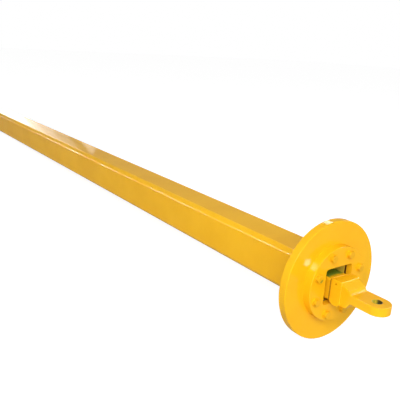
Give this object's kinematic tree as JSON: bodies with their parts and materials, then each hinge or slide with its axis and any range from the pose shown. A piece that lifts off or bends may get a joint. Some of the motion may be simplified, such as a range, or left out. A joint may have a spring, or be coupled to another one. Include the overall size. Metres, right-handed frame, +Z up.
{
  "type": "telescopic kelly bar",
  "caption": "Square telescopic kelly bar for a drilling rig, lying down and fully retracted, with a round stop flange, a bolted cover plate and a lifting lug.",
  "frame": {"origin": "centre of the pin bore in the lifting lug, at half the lug's thickness", "axes": "+X out of the lug end along the bar; +Z up and along the pin bore; the tubes run towards -X"},
  "size_m": [5.606, 0.5299, 0.53],
  "materials": {
    "yellow_paint": "glossy construction yellow enamel",
    "green_primer": "matt olive-green primer, rubbed and greasy",
    "wear_steel": "rubbed bright on the guiding faces",
    "spring_steel": "black, semi-gloss"
  },
  "bodies": {
    "outer_section": {"outer_tube": "yellow_paint", "stop_flange": "yellow_paint", "flange_weld": "yellow_paint", "cover_plate": "yellow_paint", "cover_washers": "yellow_paint", "cover_bolts": "yellow_paint", "outer_wear_strips": "wear_steel", "outer_end_plate": "yellow_paint"},
    "middle_section": {"middle_tube": "green_primer", "middle_collar": "green_primer", "middle_wear_strips": "wear_steel", "middle_end_plate": "green_primer"},
    "inner_section": {"inner_bar": "green_primer", "inner_collar": "green_primer", "lifting_head": "yellow_paint", "head_weld": "yellow_paint", "shock_spring": "spring_steel", "spring_seat": "yellow_paint", "drive_stub": "yellow_paint", "stub_weld": "yellow_paint"},
    "tray": {"spring_tray": "yellow_paint"}
  },
  "joints": [
    {"name": "middle_slide", "type": "slide", "parent": "outer_section", "child": "middle_section", "axis": [-1, 0, 0], "range_m": [0, 4.524]},
    {"name": "inner_slide", "type": "slide", "parent": "middle_section", "child": "inner_section", "axis": [-1, 0, 0], "range_m": [0, 4.46]},
    {"name": "tray_slide", "type": "slide", "parent": "inner_section", "child": "tray", "axis": [-1, 0, 0], "range_m": [0, 0.045], "stiffness_N_per_m": 60000, "deforming": ["shock_spring"]}
  ]
}
